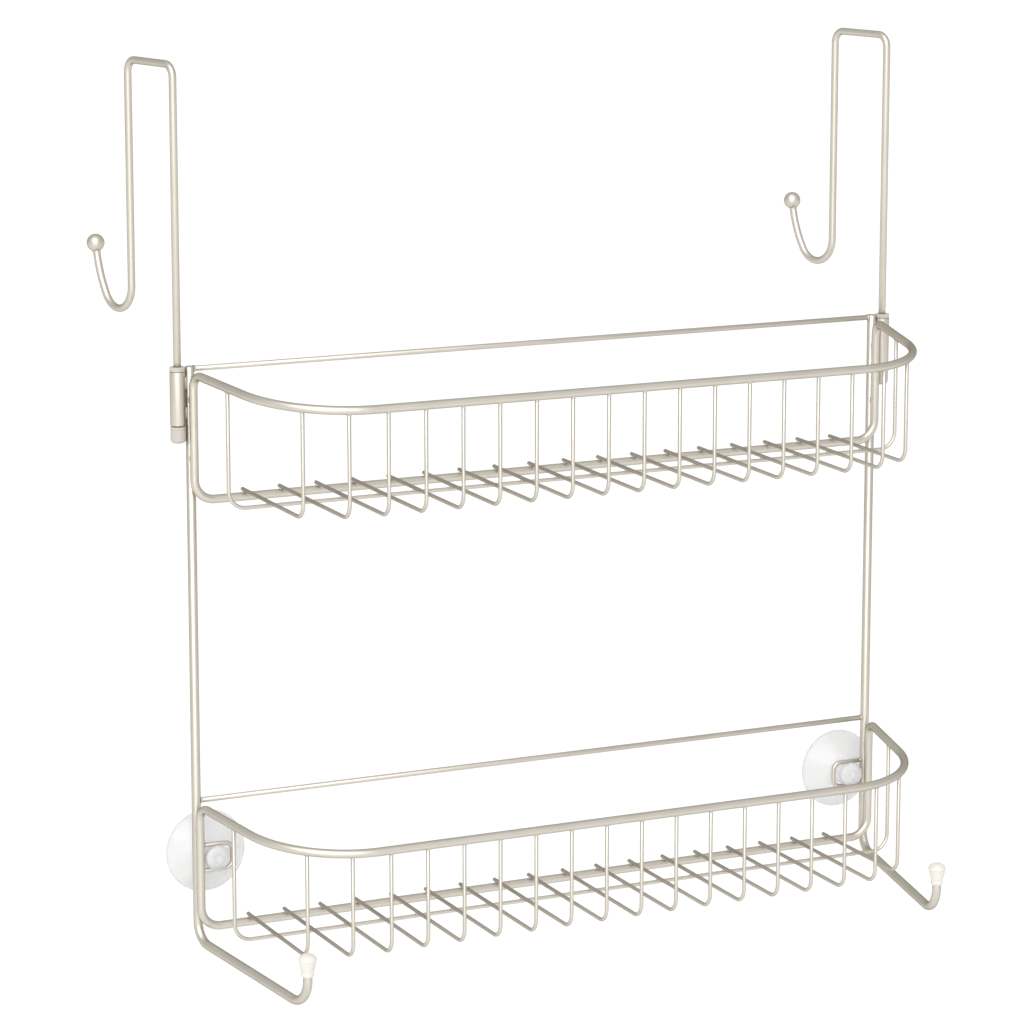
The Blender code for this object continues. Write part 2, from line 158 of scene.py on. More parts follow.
def bent_wire(name, corners, radii, diameter, ring=False, sides=WIRE_SIDES):
    """Round wire fed straight between corners and rolled round each inner one at its radius.
    A ring starts and ends in the middle of its last side, where its two ends are welded."""
    corners = [Vector(c) for c in corners]
    if ring:
        joint = (corners[-1] + corners[0]) / 2
        corners = [joint, *corners, joint]
        radii = [0, *radii, 0]
    heading = (corners[1] - corners[0]).normalized()
    round_off = 0 if ring else diameter * CUT_EDGE
    inner = diameter / 2 - round_off
    bpy.ops.object.select_all(action="DESELECT")
    bpy.ops.mesh.primitive_circle_add(vertices=sides, radius=inner, location=corners[0],
                                      rotation=heading.to_track_quat("Z", "Y").to_euler(),
                                      fill_type="NOTHING" if ring else "NGON")
    wire = bpy.context.object
    bpy.ops.object.transform_apply(location=True, rotation=True, scale=True)
    bpy.ops.object.mode_set(mode="EDIT")
    bpy.ops.mesh.select_all(action="SELECT")
    here = corners[0]
    if not ring:
        here = here + heading * round_off
        draw_on(heading * round_off)
        bpy.ops.transform.resize(value=[diameter / 2 / inner] * 3, center_override=here)
    for i in range(1, len(corners) - 1):
        leaving = (corners[i + 1] - corners[i]).normalized()
        turn = heading.angle(leaving)
        tangent = radii[i] * math.tan(turn / 2)
        stop = corners[i] - heading * tangent
        draw_on(stop - here)
        axis = heading.cross(leaving).normalized()
        bpy.ops.mesh.spin(steps=max(3, math.ceil(turn / BEND_STEP)), angle=-turn, axis=axis,
                          center=stop + axis.cross(heading) * radii[i])
        here = corners[i] + leaving * tangent
        heading = leaving
    draw_on(corners[-1] - heading * round_off - here)
    if not ring:
        draw_on(heading * round_off)
        bpy.ops.transform.resize(value=[inner / (diameter / 2)] * 3, center_override=corners[-1])
    return close_piece(wire, name)


def copied(piece, name, move=(0, 0, 0), mirror=False):
    """A copy with its own mesh, moved, or mirrored to the other side of the caddy."""
    copy = piece.copy()
    copy.data = piece.data.copy()
    copy.name = name
    bpy.context.scene.collection.objects.link(copy)
    if mirror:
        copy.data.transform(Matrix.Diagonal((-1, 1, 1, 1)))
        copy.data.flip_normals()
    copy.data.transform(Matrix.Translation(move))
    return copy


def fit(piece, material, slot, body, *nodes):
    """Gives a finished piece its material, its body, and the solids it stands for."""
    piece.data.materials.clear()
    piece.data.materials.append(material)
    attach(piece, body)
    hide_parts(*nodes)


def middle(node):
    low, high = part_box(node)
    return (low + high) / 2


post_low, post_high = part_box("left_post")
post_x = post_low.x + POST_D / 2
post_y = post_high.y - POST_D / 2
upturn = middle("left_arm_tip")
arm_reach = post_y - upturn.y
arm_end_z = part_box("left_arm_tip")[1].z - TIP_TOP
arm_foot_z = arm_end_z + arm_reach * math.tan(ARM_DROOP)
left_upright = bent_wire(
    "left_upright",
    [(post_x, post_y, post_high.z), (post_x, post_y, arm_foot_z),
     (upturn.x, upturn.y, arm_end_z), (upturn.x, upturn.y, upturn.z)],
    [0, ARM_BEND_R, TIP_BEND_R, 0], POST_D)
right_upright = copied(left_upright, "right_upright", mirror=True)
fit(left_upright, satin_nickel, "satin_nickel", "frame", "left_post")
fit(right_upright, satin_nickel, "satin_nickel", "frame", "right_post")

# ------------------------------------------------------------------ arm tips
# Soft off-white vinyl bumpers pushed over the towel arms' cut ends. They are moulded with a narrow
# mouth, a ribbed flare that grips wet fingers and cloth loops, and a low domed head.
VINYL = "#d8d5ce"
VINYL_DEEP = "#cbc8c0"
VINYL_GRAIN = 0.0010       # fine matt texture of the mould
TIP_BORE_R = 0.9 * POST_D / 2  # the mouth is a little narrower than the wire and grips it
TIP_RECESS = 0.0006        # how far the bore's edge lies inside the mouth
TIP_EDGE = 0.0003
TIP_RIBS = 4
TIP_RIB_DEPTH = 0.00020
TIP_RIB_SHAPE = ((0.15, 1), (0.35, 1), (0.55, 0), (0.90, 0))  # shares of a rib's length and its depth
TIP_SEGMENTS = 48
TIP_MOUTH_R = 0.0042
TIP_HEAD_R = 0.0062
TIP_MOUTH_L = 0.0026
TIP_DOME_L = 0.0042
TIP_DOME_STEPS = 10
POLE_R = 0.0003            # flat left in the middle of a turned end


def turned(name, outline, segments, at, toward, ring=False):
    """A round piece drawn from a disc through (radius, height) pairs, then set on its axis.
    A ring's outline comes back to where it started."""
    radius, height = outline[0]
    bpy.ops.object.select_all(action="DESELECT")
    bpy.ops.mesh.primitive_circle_add(vertices=segments, radius=radius, location=(0, 0, height),
                                      fill_type="NOTHING" if ring else "NGON")
    piece = bpy.context.object
    bpy.ops.object.transform_apply(location=True, rotation=True, scale=True)
    bpy.ops.object.mode_set(mode="EDIT")
    bpy.ops.mesh.select_all(action="SELECT")
    for next_radius, next_height in outline[1:]:
        draw_on((0, 0, next_height - height))
        scale = next_radius / radius
        bpy.ops.transform.resize(value=(scale, scale, 1), center_override=(0, 0, next_height))
        radius, height = next_radius, next_height
    close_piece(piece, name)
    piece.location = at
    piece.rotation_euler = Vector(toward).to_track_quat("Z", "Y").to_euler()
    bpy.ops.object.transform_apply(location=True, rotation=True, scale=True)
    return piece


def arc(centre_r, centre_h, radius, start, end, steps):
    """(radius, height) pairs round an arc, in degrees from outwards towards up."""
    angles = [math.radians(start + (end - start) * k / steps) for k in range(steps + 1)]
    return [(centre_r + radius * math.cos(a), centre_h + radius * math.sin(a)) for a in angles]


def make_white_vinyl():
    """Plasticised PVC: slightly translucent, satin, with the mould's fine texture."""
    material, shader, place = start_finish("white_vinyl", IOR=1.52, Roughness=0.38,
                                           Subsurface_Weight=0.25, Subsurface_Scale=0.002)
    shader.inputs["Subsurface Radius"].default_value = (1.0, 0.85, 0.7)
    links = material.node_tree.links
    mottle = add_node(material, "ShaderNodeTexNoise", {"Scale": 1 / (6 * VINYL_GRAIN), "Detail": 3},
                      {"Vector": place})
    tone = add_node(material, "ShaderNodeMix",
                    {"data_type": "RGBA", 6: colour(VINYL_DEEP), 7: colour(VINYL)},
                    {0: mottle.outputs["Fac"]})
    grain = add_node(material, "ShaderNodeTexNoise", {"Scale": 1 / VINYL_GRAIN, "Detail": 4},
                     {"Vector": place})
    bump = add_node(material, "ShaderNodeBump", {"Strength": 0.2, "Distance": 0.00005},
                    {"Height": grain.outputs["Fac"]})
    links.new(tone.outputs[2], shader.inputs["Base Color"])
    links.new(bump.outputs["Normal"], shader.inputs["Normal"])
    return material


white_vinyl = make_white_vinyl()
tip_low, tip_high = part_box("left_arm_tip")
tip_l = tip_high.z - tip_low.z
flare_l = tip_l - TIP_DOME_L - TIP_MOUTH_L
tip_outline = [(TIP_BORE_R, TIP_RECESS), (TIP_MOUTH_R - TIP_EDGE, 0), (TIP_MOUTH_R, TIP_EDGE),
               (TIP_MOUTH_R, TIP_MOUTH_L)]
for rib in range(TIP_RIBS):
    for share, groove in TIP_RIB_SHAPE:
        rise = (rib + share) / TIP_RIBS
        radius = TIP_MOUTH_R + (TIP_HEAD_R - TIP_MOUTH_R) * rise - TIP_RIB_DEPTH * groove
        tip_outline.append((radius, TIP_MOUTH_L + flare_l * rise))
tip_outline.append((TIP_HEAD_R, tip_l - TIP_DOME_L))
for k in range(1, TIP_DOME_STEPS):
    lean = math.pi / 2 * k / TIP_DOME_STEPS
    tip_outline.append((TIP_HEAD_R * math.cos(lean), tip_l - TIP_DOME_L * (1 - math.sin(lean))))
tip_outline.append((POLE_R, tip_l))
left_bumper = turned("left_bumper", tip_outline, TIP_SEGMENTS,
                     (upturn.x, upturn.y, tip_low.z), (0, 0, 1))
right_bumper = copied(left_bumper, "right_bumper", mirror=True)
fit(left_bumper, white_vinyl, "white_vinyl", "frame", "left_arm_tip")
fit(right_bumper, white_vinyl, "white_vinyl", "frame", "right_arm_tip")

# ------------------------------------------------------------------ crossbars
# A 3.6 mm straight wire across the back of each tier. Its ends are butt-welded to the inner sides of
# the uprights, level with their cut tops, and the paint softens each weld into a small fillet.
CROSSBAR_D = 0.0036
FILLET = 0.0006            # how far a weld's fillet spreads over the piece it joins
FILLET_SINK = 0.0008       # how deep a fillet starts inside that piece, past its curved side
FILLET_ARC = (0, 18, 36, 54, 72)  # degrees round its hollow, from the piece it joins to the wire
FILLET_H = 1.2 * FILLET    # how far it runs up the wire
FILLET_EDGE = 0.00002      # its thickness there
FILLET_TUCK = 0.0002       # how far its closed edge goes into the wire
FILLET_SIDES = 24
TIERS = ("upper", "lower")


def join(piece, *others):
    """Makes several shapes one piece."""
    bpy.ops.object.select_all(action="DESELECT")
    for part in (piece, *others):
        part.select_set(True)
    bpy.context.view_layer.objects.active = piece
    bpy.ops.object.join()
    return piece


def fillet(at, toward, diameter):
    """The ring of weld where a wire's end meets the side of another; toward runs along the wire."""
    wire_r = diameter / 2
    flare = [(wire_r + FILLET * (1 - math.sin(a)), FILLET * (1 - math.cos(a)))
             for a in [math.radians(degrees) for degrees in FILLET_ARC]]
    outline = [(wire_r + FILLET, -FILLET_SINK), *flare, (wire_r + FILLET_EDGE, FILLET_H),
               (wire_r - FILLET_TUCK, FILLET_H)]
    return turned("fillet", outline, FILLET_SIDES, at, toward)


for tier in TIERS:
    bar_low, bar_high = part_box(f"{tier}_crossbar")
    bar_at = middle(f"{tier}_crossbar")
    bar = bent_wire(f"{tier}_bar",
                    [(bar_low.x, bar_at.y, bar_at.z), (bar_high.x, bar_at.y, bar_at.z)],
                    [0, 0], CROSSBAR_D)
    join(bar, fillet((bar_low.x, bar_at.y, bar_at.z), (1, 0, 0), CROSSBAR_D),
         fillet((bar_high.x, bar_at.y, bar_at.z), (-1, 0, 0), CROSSBAR_D))
    fit(bar, satin_nickel, "satin_nickel", "frame", f"{tier}_crossbar")

# ------------------------------------------------------------------ basket rims
# The 5.8 mm wire that gives each basket its shape is one closed ring: along the back under the floor,
# up both uprights, and round the front as the top rail. Two oval welds a side hold it to the uprights.
RIM_D = 0.0058
WELD_GAP = 0.0003
RIM_BELOW_BAR = 0.0025
BASKET_H = 0.0855
BASKET_DEPTH = 0.1175
FRONT_DROP = 0.0115
SIDE_TAPER = 0.0225
FRONT_CORNER_R = 0.070
BACK_CORNER_R = 0.009
FLOOR_CORNER_R = 0.014
RIM_WELDS = (0.0178, 0.0577)   # welds below the ring's upper rear corners
RIM_WELD_SIZE = (0.0009, 0.0011, 0.0028)
RIM_WELD_OUT = 0.0014          # welds lie in the groove on each side of the two wires


def bead(at, size, seed):
    """A weld bead: a blob pressed to half sizes along X, Y and Z, a little uneven as beads are."""
    bpy.ops.object.select_all(action="DESELECT")
    bpy.ops.mesh.primitive_ico_sphere_add(subdivisions=2, radius=1, location=(0, 0, 0))
    blob = bpy.context.object
    bpy.ops.object.mode_set(mode="EDIT")
    bpy.ops.mesh.select_all(action="SELECT")
    bpy.ops.mesh.subdivide(number_cuts=1, smoothness=1)
    bpy.ops.transform.vertex_random(offset=0.08, seed=seed)
    bpy.ops.mesh.vertices_smooth(factor=0.5, repeat=2)
    bpy.ops.transform.resize(value=size, center_override=(0, 0, 0))
    bpy.ops.transform.translate(value=at)
    return close_piece(blob, "bead")


rim_y = post_y - (POST_D + RIM_D) / 2 - WELD_GAP
front_y = rim_y - BASKET_DEPTH
side_x = -post_x
front_x = side_x - SIDE_TAPER
for tier in TIERS:
    rim_z = middle(f"{tier}_crossbar").z - RIM_BELOW_BAR
    rim = bent_wire(
        f"{tier}_ring",
        [(-side_x, rim_y, rim_z - BASKET_H), (-side_x, rim_y, rim_z),
         (-front_x, front_y, rim_z - FRONT_DROP), (front_x, front_y, rim_z - FRONT_DROP),
         (side_x, rim_y, rim_z), (side_x, rim_y, rim_z - BASKET_H)],
        [FLOOR_CORNER_R, BACK_CORNER_R, FRONT_CORNER_R,
         FRONT_CORNER_R, BACK_CORNER_R, FLOOR_CORNER_R],
        RIM_D, ring=True)
    groove_y = post_y - (POST_D + WELD_GAP) / 2
    beads = [bead((side * side_x + out, groove_y, rim_z - drop), RIM_WELD_SIZE, 1 + number)
             for side in (-1, 1) for out in (-RIM_WELD_OUT, RIM_WELD_OUT)
             for number, drop in enumerate(RIM_WELDS)]
    join(rim, *beads)
    fit(rim, satin_nickel, "satin_nickel", "frame", f"{tier}_rim")

# ------------------------------------------------------------------ runners
# A thin wire under each basket's floor, across all the floor wires. It bends up at both ends and is
# welded under the sides of the ring.
RUNNER_D = 0.0026
RUNNER_BEND_R = 0.012

for tier in TIERS:
    low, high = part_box(f"{tier}_runner")
    run_y = (low.y + high.y) / 2
    run_z = low.z + RUNNER_D / 2
    end_x = high.x - RUNNER_D / 2
    runner = bent_wire(f"{tier}_stringer",
                       [(-end_x, run_y, high.z), (-end_x, run_y, run_z),
                        (end_x, run_y, run_z), (end_x, run_y, high.z)],
                       [0, RUNNER_BEND_R, RUNNER_BEND_R, 0], RUNNER_D)
    join(runner, fillet((-end_x, run_y, high.z + WELD_GAP), (0, 0, -1), RUNNER_D),
         fillet((end_x, run_y, high.z + WELD_GAP), (0, 0, -1), RUNNER_D))
    fit(runner, satin_nickel, "satin_nickel", "frame", f"{tier}_runner")

# ------------------------------------------------------------------ floor wires
# Eighteen thin wires make each basket's floor and front. Each lies across the back of the ring with a
# short sheared stub, runs forward over the runner, bends up and is butt-welded under the top rail.
WIRE_D = 0.0026
WIRE_BEND_R = 0.010
WIRE_COUNT = 18
FLOOR_FALL = 0.0022        # fall from the ring's rear bar to the front rail's line
CORNER_WIRES = 2           # wires each side that stop short, under the rail's corners
CROSS_WELD_SIZE = (0.0014, 0.0013, 0.0008)


def floor_wire(tier, number):
    """One wire with its three welds: under the rail, on the ring's rear bar and on the runner."""
    low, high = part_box(f"{tier}_wire_{number:02d}")
    x = (low.x + high.x) / 2
    leg_y = low.y + WIRE_D / 2
    runner_y = middle(f"{tier}_runner").y
    rear_z = middle(f"{tier}_crossbar").z - RIM_BELOW_BAR - BASKET_H + (RIM_D + WIRE_D) / 2 + WELD_GAP

    def floor_z(y):
        return rear_z - FLOOR_FALL * (rim_y - y) / BASKET_DEPTH

    wire = bent_wire(f"{tier}_grid_{number:02d}",
                     [(x, high.y, floor_z(high.y)), (x, leg_y, floor_z(leg_y)), (x, leg_y, high.z)],
                     [0, WIRE_BEND_R, 0], WIRE_D, sides=24)
    weld_drop = (WIRE_D + WELD_GAP) / 2
    return join(wire, fillet((x, leg_y, high.z + WELD_GAP), (0, 0, -1), WIRE_D),
                bead((x, rim_y, rear_z - weld_drop), CROSS_WELD_SIZE, number),
                bead((x, runner_y, floor_z(runner_y) - weld_drop), CROSS_WELD_SIZE,
                     number + WIRE_COUNT))


for tier in TIERS:
    wires = {number: floor_wire(tier, number) for number in range(1, CORNER_WIRES + 2)}
    pattern = wires[CORNER_WIRES + 1]
    first_x = middle(f"{tier}_wire_{CORNER_WIRES + 1:02d}").x
    for number in range(CORNER_WIRES + 2, WIRE_COUNT - CORNER_WIRES + 1):
        step = middle(f"{tier}_wire_{number:02d}").x - first_x
        wires[number] = copied(pattern, f"{tier}_grid_{number:02d}", move=(step, 0, 0))
    for number in range(1, CORNER_WIRES + 1):
        other = WIRE_COUNT + 1 - number
        wires[other] = copied(wires[number], f"{tier}_grid_{other:02d}", mirror=True)
    for number, wire in wires.items():
        fit(wire, satin_nickel, "satin_nickel", "frame", f"{tier}_wire_{number:02d}")

# ------------------------------------------------------------------ hook sleeves
# A short steel tube is welded to the outer side of each upright's top, painted with the frame. A
# moulded grey liner is pushed into it, and its collar rests on the tube's upper end.
SLEEVE_WALL = 0.0009
TUBE_EDGE = 0.00025        # rounding of the sawn and tumbled tube ends
COLLAR_T = 0.0030
COLLAR_EDGE = 0.0006       # rounding of its upper rim
COLLAR_FOOT_EDGE = 0.0002
BORE_EDGE = 0.0003         # bevel where the hook wire goes in
HOOK_BORE_R = 0.0028
SLEEVE_SEGMENTS = 56
SLEEVE_WELD_SIZE = (0.0008, 0.0009, 0.0045)
SLEEVE_WELDS = (0.008, 0.028)  # below the tube's top
SLEEVE_WELD_OUT = 0.0012       # welds lie in front of and behind the line where tube and upright meet
NYLON = "#bbb6ae"
NYLON_DEEP = "#aea89f"
NYLON_GRAIN = 0.0007


def make_grey_nylon():
    """Moulded nylon in the frame's tone: even, satin, with a faint moulding grain."""
    material, shader, place = start_finish("moulded_grey_nylon", IOR=1.53, Roughness=0.46,
                                           Subsurface_Weight=0.08, Subsurface_Scale=0.001)
    links = material.node_tree.links
    flow = add_node(material, "ShaderNodeTexNoise", {"Scale": 1 / (8 * NYLON_GRAIN), "Detail": 2},
                    {"Vector": place})
    tone = add_node(material, "ShaderNodeMix",
                    {"data_type": "RGBA", 6: colour(NYLON_DEEP), 7: colour(NYLON)},
                    {0: flow.outputs["Fac"]})
    grain = add_node(material, "ShaderNodeTexNoise", {"Scale": 1 / NYLON_GRAIN, "Detail": 3},
                     {"Vector": place})
    bump = add_node(material, "ShaderNodeBump", {"Strength": 0.2, "Distance": 0.00003},
                    {"Height": grain.outputs["Fac"]})
    links.new(tone.outputs[2], shader.inputs["Base Color"])
    links.new(bump.outputs["Normal"], shader.inputs["Normal"])
    return material


def tube_outline(inner_r, outer_r, bottom, top, edge):
    """A tube's wall all round, with rounded rims, from its inner bottom edge back to it."""
    corners = ((outer_r, bottom, -90, 0), (outer_r, top, 0, 90),
               (inner_r, top, 90, 180), (inner_r, bottom, 180, 270))
    outline = []
    for r, h, start, end in corners:
        inward = -1 if r == outer_r else 1
        upward = 1 if h == bottom else -1
        outline += arc(r + inward * edge, h + upward * edge, edge, start, end, 3)
    return outline + outline[:1]


grey_nylon = make_grey_nylon()
sleeve_low, sleeve_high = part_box("left_sleeve")
sleeve_at = Vector((middle("left_sleeve").x, post_y, sleeve_high.z))
sleeve_r = (sleeve_high.x - sleeve_low.x) / 2
sleeve_l = sleeve_high.z - sleeve_low.z
left_tube = turned("left_tube", tube_outline(sleeve_r - SLEEVE_WALL, sleeve_r, -sleeve_l, 0, TUBE_EDGE),
                   SLEEVE_SEGMENTS, sleeve_at, (0, 0, 1), ring=True)
groove_x = post_x - POST_D / 2 - WELD_GAP / 2
join(left_tube, *[bead((groove_x, post_y + out, sleeve_at.z - drop), SLEEVE_WELD_SIZE, number)
                  for out in (-SLEEVE_WELD_OUT, SLEEVE_WELD_OUT)
                  for number, drop in enumerate(SLEEVE_WELDS)])
liner_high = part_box("left_liner")[1]
collar_top = liner_high.z - sleeve_at.z
collar_low = collar_top - COLLAR_T
liner_r = sleeve_r - SLEEVE_WALL - WELD_GAP
left_collar = turned(
    "left_collar",
    [(HOOK_BORE_R, -sleeve_l), (liner_r, -sleeve_l), (liner_r, collar_low),
     *arc(sleeve_r - COLLAR_FOOT_EDGE, collar_low + COLLAR_FOOT_EDGE, COLLAR_FOOT_EDGE, -90, 0, 2),
     *arc(sleeve_r - COLLAR_EDGE, collar_top - COLLAR_EDGE, COLLAR_EDGE, 0, 90, 5),
     (HOOK_BORE_R + BORE_EDGE, collar_top), (HOOK_BORE_R, collar_top - BORE_EDGE),
     (HOOK_BORE_R, -sleeve_l)],
    SLEEVE_SEGMENTS, sleeve_at, (0, 0, 1), ring=True)
right_tube = copied(left_tube, "right_tube", mirror=True)
right_collar = copied(left_collar, "right_collar", mirror=True)
for side, tube, collar in (("left", left_tube, left_collar), ("right", right_tube, right_collar)):
    fit(tube, satin_nickel, "satin_nickel", "frame", f"{side}_sleeve")
    fit(collar, grey_nylon, "grey_nylon", "frame", f"{side}_liner")

# ------------------------------------------------------------------ door hooks
# A 5 mm wire stands in each sleeve, goes over the door and down behind it, and curls up as a towel
# hook with a steel ball welded on its end. It turns freely; both stand turned a little at rest.
HOOK_D = 0.0050
HOOK_SWIVEL = math.radians(12)
DOOR_GAP = 0.049
HOOK_BEND_R = 0.0085
J_DROP = 0.1685
J_R = 0.0172
J_FLARE = math.radians(33)
J_ARM_R = 0.080            # wide curve that follows the tight one
J_ARM_L = 0.030            # along it, to the ball's surface
BALL_R = 0.0060
BALL_SEGMENTS = 48
BALL_NECK = 26             # degrees of the ball's underside that the weld to the wire takes up
BALL_POLE = 87             # degrees from the ball's middle to the small flat on its top
BALL_STEPS = 22
BALL_WELD = ((0.0001, -0.0004), (0.0003, 0.0004))  # how far the weld stands out, and its height


def hook_lean(angle):
    """Direction in the hook's plane, leaning away from the door by an angle from upright."""
    return Vector((0, math.sin(angle), math.cos(angle)))


for side, sign in (("left", 1), ("right", -1)):
    axis_at = Vector((sign * sleeve_at.x, post_y, 0))
    place = Matrix.Translation(axis_at) @ Matrix.Rotation(HOOK_SWIVEL, 4, "Z")
    bar_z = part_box(f"{side}_door_hook")[1].z - HOOK_D / 2
    back_y = DOOR_GAP + HOOK_D
    foot_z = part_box(f"{side}_end_cap")[1].z - HOOK_D
    curl_z = bar_z - J_DROP + J_R
    curl_reach = J_R * math.tan((math.pi - J_FLARE) / 2)
    curl_corner = Vector((0, back_y, curl_z - curl_reach))
    wide_turn = J_ARM_L / J_ARM_R
    wide_reach = J_ARM_R * math.tan(wide_turn / 2)
    wide_corner = curl_corner + hook_lean(J_FLARE) * (curl_reach + wide_reach)
    wire_end = wide_corner + hook_lean(J_FLARE - wide_turn) * (wide_reach + BALL_R / 2)
    path = [(0, 0, foot_z), (0, 0, bar_z), (0, back_y, bar_z), curl_corner, wide_corner, wire_end]
    hook = bent_wire(f"{side}_hanger", [place @ Vector(p) for p in path],
                     [0, HOOK_BEND_R, HOOK_BEND_R, J_R, J_ARM_R, 0], HOOK_D)
    fit(hook, satin_nickel, "satin_nickel", f"{side}_hook", f"{side}_door_hook")
    neck = [(HOOK_D / 2 + out, -BALL_R + height) for out, height in BALL_WELD]
    round_side = arc(0, 0, BALL_R, BALL_NECK - 90, BALL_POLE, BALL_STEPS)
    ball = turned(f"{side}_ball", neck + round_side, BALL_SEGMENTS, middle(f"{side}_hook_ball"),
                  place.to_3x3() @ hook_lean(J_FLARE - wide_turn))
    fit(ball, satin_nickel, "satin_nickel", f"{side}_hook", f"{side}_hook_ball")

# ------------------------------------------------------------------ end caps
# A light grey moulded cap is pressed on the hook wire below its sleeve, so that the hook can't lift
# out. A thin gap above lets it turn, and its foot is well rounded.
CAP_R_FOOT = 0.0028
CAP_EDGE = 0.0003
CAP_RING_H = 0.0016        # shallow groove under the cap's top edge
CAP_RING_DEPTH = 0.00018
CAP_RING_W = 0.0004
CAP_RING_BEVEL = 0.0001

for side in ("left", "right"):
    low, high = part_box(f"{side}_end_cap")
    cap_l = high.z - low.z
    ring_r = sleeve_r - CAP_RING_DEPTH
    ring_end = -CAP_RING_H - CAP_RING_W
    outline = [(HOOK_D / 2, -CAP_EDGE), *arc(sleeve_r - CAP_EDGE, -CAP_EDGE, CAP_EDGE, 90, 0, 3),
               (sleeve_r, -CAP_RING_H), (ring_r, -CAP_RING_H - CAP_RING_BEVEL),
               (ring_r, ring_end + CAP_RING_BEVEL), (sleeve_r, ring_end),
               *arc(sleeve_r - CAP_R_FOOT, -cap_l + CAP_R_FOOT, CAP_R_FOOT, 0, -90, 8),
               (POLE_R, -cap_l)]
    cap = turned(f"{side}_stop_cap", outline, SLEEVE_SEGMENTS,
                 (middle(f"{side}_end_cap").x, post_y, high.z), (0, 0, 1))
    fit(cap, grey_nylon, "grey_nylon", f"{side}_hook", f"{side}_end_cap")

# ------------------------------------------------------------------ suction-cup loops
# A thin wire bent to a U and welded by both ends to the inner side of each upright. A cup's neck
# snaps between its wires and can slide a little along them.
LOOP_D = 0.0028
LOOP_CORNER_R = 0.0052

low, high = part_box("left_cup_loop")
loop_top = high.z - LOOP_D / 2
loop_bottom = low.z + LOOP_D / 2
loop_far = high.x - LOOP_D / 2
left_loop = bent_wire("left_bracket",
                      [(low.x, post_y, loop_top), (loop_far, post_y, loop_top),
                       (loop_far, post_y, loop_bottom), (low.x, post_y, loop_bottom)],
                      [0, LOOP_CORNER_R, LOOP_CORNER_R, 0], LOOP_D)
join(left_loop, fillet((low.x, post_y, loop_top), (1, 0, 0), LOOP_D),
     fillet((low.x, post_y, loop_bottom), (1, 0, 0), LOOP_D))
right_loop = copied(left_loop, "right_bracket", mirror=True)
fit(left_loop, satin_nickel, "satin_nickel", "frame", "left_cup_loop")
fit(right_loop, satin_nickel, "satin_nickel", "frame", "right_cup_loop")

# ------------------------------------------------------------------ suction cups
# One clear soft PVC moulding each: a wide bell that thins to a flat sealing ring, a neck held by the
# wire loop, and a mushroom head with a dimple from the mould's gate.
CUP_CLEAR = "#dcdcdc"
CUP_HAZE = "#d0d0d1"
CUP_FLOW = 0.012           # faint flow marks of the moulding
CUP_WALL = 0.0017
CUP_LIP_T = 0.0013
CUP_RIM_W = 0.0026
CUP_NECK_R = 0.0070
CUP_NECK_EDGE = 0.0002
CUP_HEAD_R = 0.0087
CUP_HEAD_ROUND = 0.0023
CUP_HEAD_EDGE = 0.0006
CUP_DIMPLE = ((0.0016, 0.0014), (0.0026, 0.0011), (0.0034, 0.0003), (0.0042, 0))  # radius, depth
CUP_BEHIND_POST = 0.0006
CUP_EDGE = 0.0003          # bevel of the bell's outer edge and of its shoulder
CUP_SHOULDER_R = 0.0084
CUP_NECK_HALF = 0.0017
CUP_FLARE = 1.35
CUP_STEPS = 18
CUP_SEGMENTS = 96


def make_clear_pvc():
    """Clear plasticised PVC gone a little milky: thin walls show what is behind them through a
    light grey haze, with a soft gloss and a trace of refraction in the thick head."""
    material, shader, place = start_finish("clear_soft_pvc", IOR=1.45, Transmission_Weight=0.35,
                                           Alpha=0.55)
    links = material.node_tree.links
    flow = add_node(material, "ShaderNodeTexNoise", {"Scale": 1 / CUP_FLOW, "Detail": 3, "Distortion": 0.6},
                    {"Vector": place})
    tone = add_node(material, "ShaderNodeMix",
                    {"data_type": "RGBA", 6: colour(CUP_HAZE), 7: colour(CUP_CLEAR)},
                    {0: flow.outputs["Fac"]})
    gloss = add_node(material, "ShaderNodeMapRange", {"To Min": 0.14, "To Max": 0.24},
                     {"Value": flow.outputs["Fac"]})
    bump = add_node(material, "ShaderNodeBump", {"Strength": 0.15, "Distance": 0.0002},
                    {"Height": flow.outputs["Fac"]})
    links.new(tone.outputs[2], shader.inputs["Base Color"])
    links.new(gloss.outputs["Result"], shader.inputs["Roughness"])
    links.new(bump.outputs["Normal"], shader.inputs["Normal"])
    return material


clear_pvc = make_clear_pvc()
low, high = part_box("left_suction_cup")
cup_at = Vector((middle("left_suction_cup").x, post_y, middle("left_suction_cup").z))
cup_r = (high.x - low.x) / 2
seal_r = cup_r - CUP_RIM_W
face_h = high.y - post_y
head_h = low.y - post_y
shoulder_h = POST_D / 2 + CUP_BEHIND_POST
lip_h = face_h - CUP_LIP_T
crown_h = shoulder_h + CUP_WALL
cup_outline = [
    *[(radius, head_h + depth) for radius, depth in CUP_DIMPLE],
    *arc(CUP_HEAD_R - CUP_HEAD_ROUND, head_h + CUP_HEAD_ROUND, CUP_HEAD_ROUND, -90, 0, 6),
    *arc(CUP_HEAD_R - CUP_HEAD_EDGE, -CUP_NECK_HALF - CUP_HEAD_EDGE, CUP_HEAD_EDGE, 0, 90, 3),
    (CUP_NECK_R + CUP_NECK_EDGE, -CUP_NECK_HALF), (CUP_NECK_R, -CUP_NECK_HALF + CUP_NECK_EDGE),
    (CUP_NECK_R, CUP_NECK_HALF), (CUP_SHOULDER_R - CUP_EDGE, shoulder_h - CUP_NECK_EDGE)]
for k in range(CUP_STEPS + 1):
    share = k / CUP_STEPS
    cup_outline.append((CUP_SHOULDER_R + (cup_r - CUP_SHOULDER_R) * share,
                        shoulder_h + (lip_h - shoulder_h) * share ** CUP_FLARE))
cup_outline += [(cup_r, face_h - CUP_EDGE), (cup_r - CUP_EDGE, face_h), (seal_r, face_h)]
